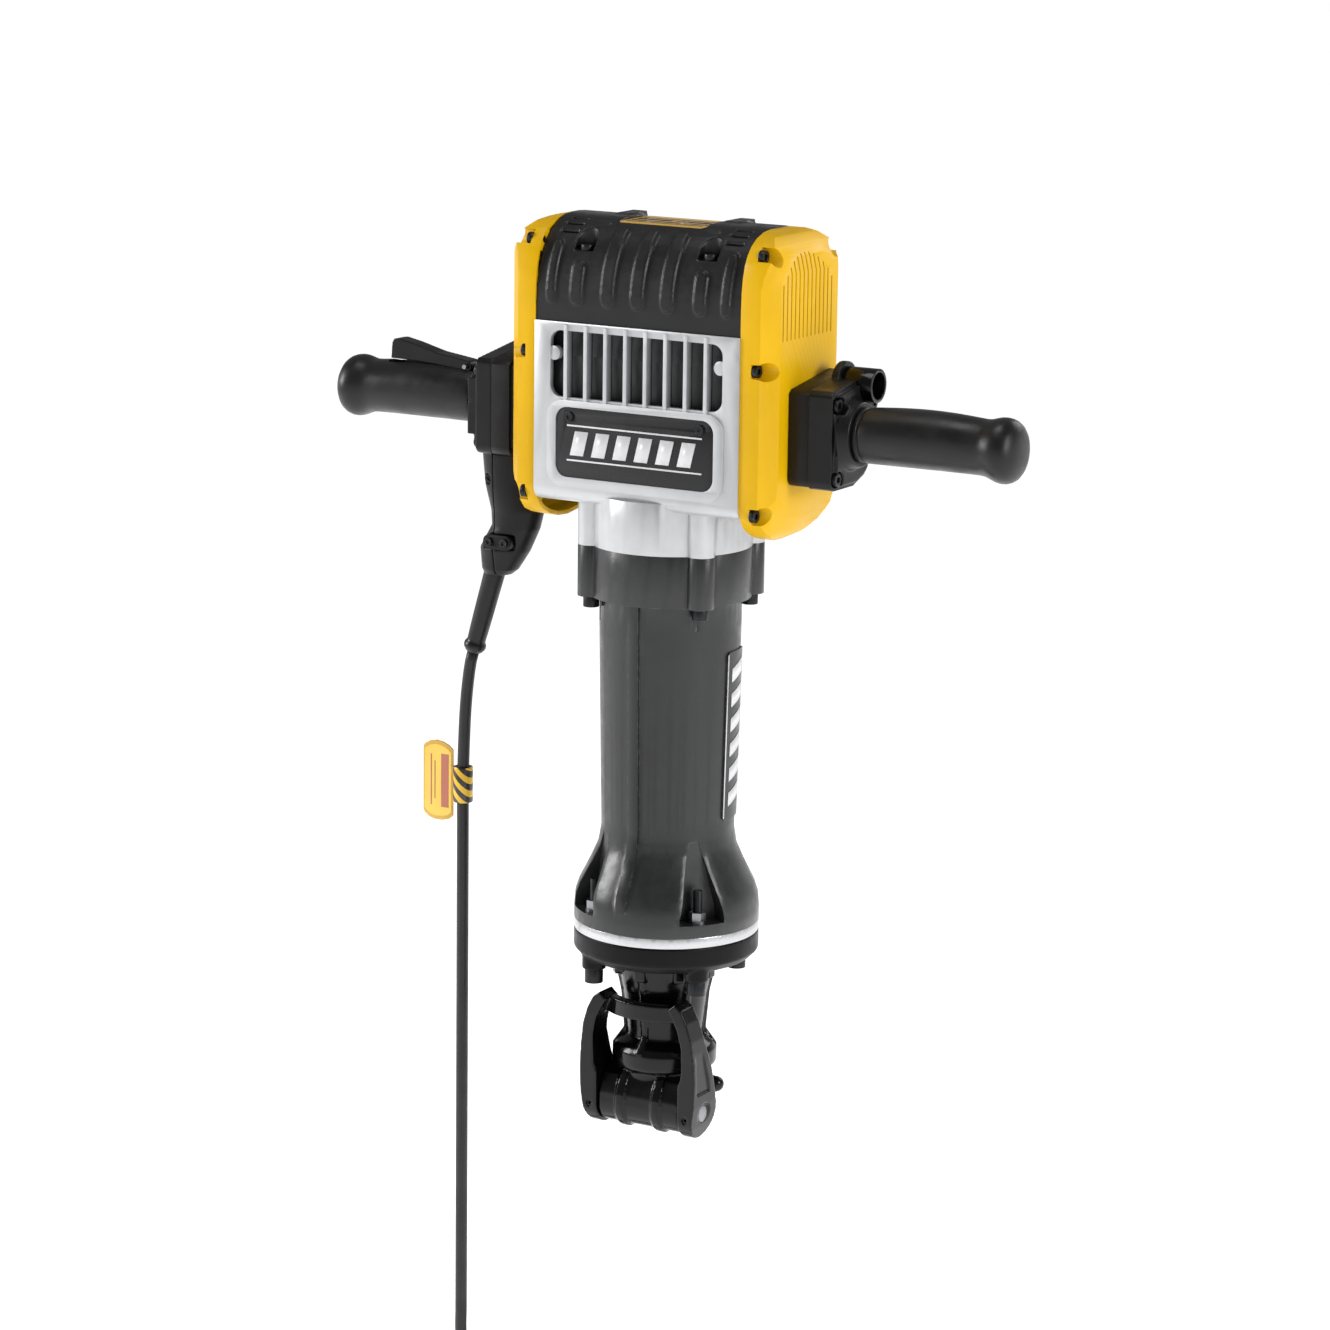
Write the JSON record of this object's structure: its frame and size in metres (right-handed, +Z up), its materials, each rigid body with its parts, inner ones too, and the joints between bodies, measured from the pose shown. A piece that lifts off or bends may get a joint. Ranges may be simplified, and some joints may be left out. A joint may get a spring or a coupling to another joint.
{
  "type": "demolition hammer",
  "caption": "Upright electric demolition hammer with two side handles, a geared crank drive inside, a hex tool holder with a swinging latch, and a mains cord.",
  "frame": {"origin": "centre of the nose mouth, on the tool axis", "axes": "+Z up along the tool axis, +X along the right handle, -Y towards the front with the nameplate"},
  "size_m": [0.667, 0.2575, 1.14],
  "materials": {
    "yellow": "glossy yellow moulded plastic with a fine grain",
    "black_plastic": "satin black moulded plastic",
    "top_plastic": "satin charcoal moulded plastic",
    "gloss_black": "glossy black enamel on forged steel",
    "cast_grey": "dark grey paint on a casting",
    "cast_dark": "charcoal paint on a casting",
    "silver": "fine sand-cast and painted aluminium",
    "machined": "turned steel",
    "steel": "oiled steel",
    "bolt_black": "black oxide",
    "rubber": "matt black rubber",
    "cord_rubber": "smooth black rubber sheath",
    "label": "printed film with plain bars",
    "tag": "yellow and black striped film",
    "lamination": "stacked steel laminations",
    "copper": "enamelled copper and brass"
  },
  "bodies": {
    "root": {"gear_housing": "silver", "barrel_housing": "cast_grey", "spacer_ring": "machined", "front_flange": "cast_dark", "nose_housing": "gloss_black", "tool_bushing": "steel", "top_cover": "top_plastic", "top_cover_screws": "bolt_black", "top_label": "label", "side_cover_right": "yellow", "side_cover_left": "yellow", "side_cover_screws": "bolt_black", "nameplate": "label", "nameplate_screws": "bolt_black", "barrel_badge": "label", "bracket_right_base": "black_plastic", "bracket_right_cover": "black_plastic", "bracket_screws": "bolt_black", "handle_core_right": "steel", "grip_right": "rubber", "accessory_tube": "gloss_black", "bracket_left_base": "black_plastic", "bracket_left_body": "black_plastic", "bracket_left_cover": "black_plastic", "handle_core_left": "steel", "grip_left": "rubber", "trigger_pin": "steel", "switch": "black_plastic", "duct_outer": "black_plastic", "duct_inner": "black_plastic", "cable_clamp": "black_plastic", "duct_screws": "bolt_black", "strain_relief": "rubber", "cord": "cord_rubber", "cord_coil": "cord_rubber", "coil_tie": "rubber", "plug": "rubber", "cord_tag": "tag", "stator": "lamination", "commutator_bracket": "silver", "brush_holders": "copper", "gear_plate": "silver", "bearings": "steel", "hammer_cylinder": "steel", "anvil_bushing": "silver", "collar_bolts": "bolt_black", "flange_bolts": "bolt_black", "flange_nuts": "steel"},
    "latch": {"latch": "gloss_black", "latch_pin": "steel", "latch_roll_pins": "bolt_black"},
    "trigger": {"trigger": "black_plastic"},
    "plunger": {"switch_plunger": "steel"},
    "crank": {"crankshaft": "steel"},
    "rod": {"connecting_rod": "steel"},
    "idler": {"intermediate_gear": "steel"},
    "motor": {"armature": "lamination"},
    "piston": {"piston": "steel"},
    "ram": {"ram": "steel"},
    "anvil": {"anvil": "steel"}
  },
  "joints": [
    {"name": "latch_swing", "type": "hinge", "parent": "root", "child": "latch", "pos_m": [0, -0.027, 0.01], "axis": [1, 0, 0], "range_deg": [0, 155]},
    {"name": "trigger_pull", "type": "hinge", "parent": "root", "child": "trigger", "pos_m": [-0.202, -0.005, 0.645], "axis": [0, -1, 0], "range_deg": [0, 9], "stiffness_Nm_per_rad": 0.6, "springref_deg": -20.05},
    {"name": "plunger_press", "type": "slide", "parent": "root", "child": "plunger", "axis": [0, 0, -1], "range_m": [0, 0.005]},
    {"name": "crank_spin", "type": "hinge", "parent": "root", "child": "crank", "pos_m": [0, 0, 0.6215], "axis": [1, 0, 0], "continuous": true},
    {"name": "rod_swing", "type": "hinge", "parent": "crank", "child": "rod", "pos_m": [0, 0, 0.6065], "axis": [1, 0, 0], "continuous": true},
    {"name": "idler_spin", "type": "hinge", "parent": "root", "child": "idler", "pos_m": [0, 0, 0.6795], "axis": [1, 0, 0], "continuous": true},
    {"name": "motor_spin", "type": "hinge", "parent": "root", "child": "motor", "pos_m": [0, 0, 0.735], "axis": [1, 0, 0], "continuous": true},
    {"name": "piston_stroke", "type": "slide", "parent": "root", "child": "piston", "axis": [0, 0, 1], "range_m": [0, 0.03]},
    {"name": "ram_stroke", "type": "slide", "parent": "root", "child": "ram", "axis": [0, 0, 1], "range_m": [0, 0.03]},
    {"name": "anvil_stroke", "type": "slide", "parent": "root", "child": "anvil", "axis": [0, 0, 1], "range_m": [0, 0.01]}
  ],
  "couplings": [
    {"joint": "plunger_press", "follows": "trigger_pull", "m_per_rad": 0.027},
    {"joint": "rod_swing", "follows": "crank_spin", "ratio": -1},
    {"joint": "idler_spin", "follows": "crank_spin", "ratio": -3.1429},
    {"joint": "motor_spin", "follows": "crank_spin", "ratio": 13.469}
  ]
}
